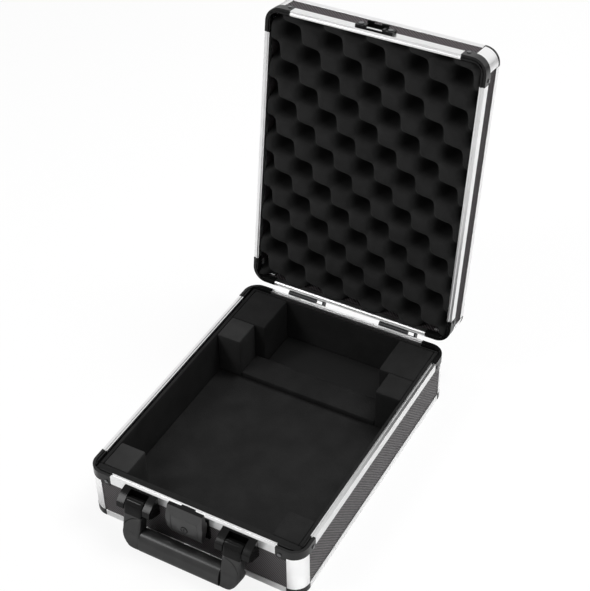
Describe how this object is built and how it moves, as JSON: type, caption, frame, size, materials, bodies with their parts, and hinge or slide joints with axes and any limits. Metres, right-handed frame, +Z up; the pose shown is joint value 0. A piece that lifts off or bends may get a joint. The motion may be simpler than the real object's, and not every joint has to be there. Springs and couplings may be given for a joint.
{
  "type": "sampler case",
  "caption": "Flat hinged carrying case with a foam-fitted tray, egg-crate lid lining, fold-down handle and key latch.",
  "frame": {"origin": "middle of the base's underside, on the surface the case lies on", "axes": "+X to the case's right seen from the handle side, +Y from the handle to the hinges, +Z up"},
  "size_m": [0.2622, 0.474, 0.421],
  "materials": {
    "laminate": "fine ribbed dark laminate over thin board",
    "rim_metal": "satin anodised",
    "corner_plastic": "semi-gloss moulded",
    "screw_steel": "plain zinc plated",
    "foam_dark": "matte open-cell foam",
    "hinge_steel": "nickel plated",
    "handle_plastic": "semi-gloss moulded",
    "core_steel": "plain",
    "latch_plastic": "semi-gloss moulded",
    "lock_metal": "polished"
  },
  "bodies": {
    "case": {"base_board_front": "laminate", "base_board_left": "laminate", "base_board_main": "laminate", "base_board_rear": "laminate", "base_board_right": "laminate", "base_corner_caps": "corner_plastic", "base_corner_posts": "rim_metal", "base_corner_screws": "screw_steel", "base_edge_trims": "rim_metal", "base_rim_corners": "corner_plastic", "base_rims": "rim_metal", "foam_block_left": "foam_dark", "foam_block_right": "foam_dark", "foam_floor": "foam_dark", "foam_ledge": "foam_dark", "foam_lining": "foam_dark", "foam_pad_front_left": "foam_dark", "foam_pad_front_right": "foam_dark", "foam_pad_rear_left": "foam_dark", "foam_pad_rear_right": "foam_dark", "handle_bracket_left": "handle_plastic", "handle_bracket_right": "handle_plastic", "handle_bracket_screws": "screw_steel", "handle_pivot_pins": "core_steel", "hinge_base_leaves": "hinge_steel", "hinge_base_rivets": "screw_steel", "hinge_pins": "hinge_steel", "latch_housing": "latch_plastic", "latch_housing_screws": "screw_steel", "latch_pin": "core_steel"},
    "lid": {"catch_bar": "core_steel", "catch_block": "latch_plastic", "catch_screws": "screw_steel", "egg_crate_foam": "foam_dark", "hinge_lid_leaves": "hinge_steel", "hinge_lid_rivets": "screw_steel", "lid_board_front": "laminate", "lid_board_left": "laminate", "lid_board_main": "laminate", "lid_board_rear": "laminate", "lid_board_right": "laminate", "lid_corner_caps": "corner_plastic", "lid_corner_posts": "rim_metal", "lid_corner_screws": "screw_steel", "lid_edge_trims": "rim_metal", "lid_rim_corners": "corner_plastic", "lid_rims": "rim_metal"},
    "handle": {"handle_arm_left": "handle_plastic", "handle_arm_right": "handle_plastic", "handle_core": "core_steel", "handle_grip": "handle_plastic"},
    "latch": {"latch_cover": "latch_plastic", "latch_spring": "core_steel", "lock_plate": "latch_plastic", "lock_rose": "lock_metal"},
    "lock": {"lock_cam": "core_steel", "lock_cylinder": "lock_metal"}
  },
  "joints": [
    {"name": "lid_hinge", "type": "hinge", "parent": "case", "child": "lid", "pos_m": [0, 0.1784, 0.066], "axis": [1, 0, 0], "range_deg": [0, 98.4]},
    {"name": "handle_pivot", "type": "hinge", "parent": "case", "child": "handle", "pos_m": [0, -0.1875, 0.052], "axis": [-1, 0, 0], "range_deg": [0, 78.3]},
    {"name": "latch_rocker", "type": "hinge", "parent": "case", "child": "latch", "pos_m": [0, -0.182, 0.055], "axis": [1, 0, 0], "range_deg": [0, 12], "stiffness_Nm_per_rad": 0.15, "springref_deg": -8.59, "deforming": ["latch_spring"]},
    {"name": "lock_turn", "type": "hinge", "parent": "latch", "child": "lock", "pos_m": [0, -0.185, 0.05], "axis": [0, -1, 0], "range_deg": [0, 90]}
  ]
}
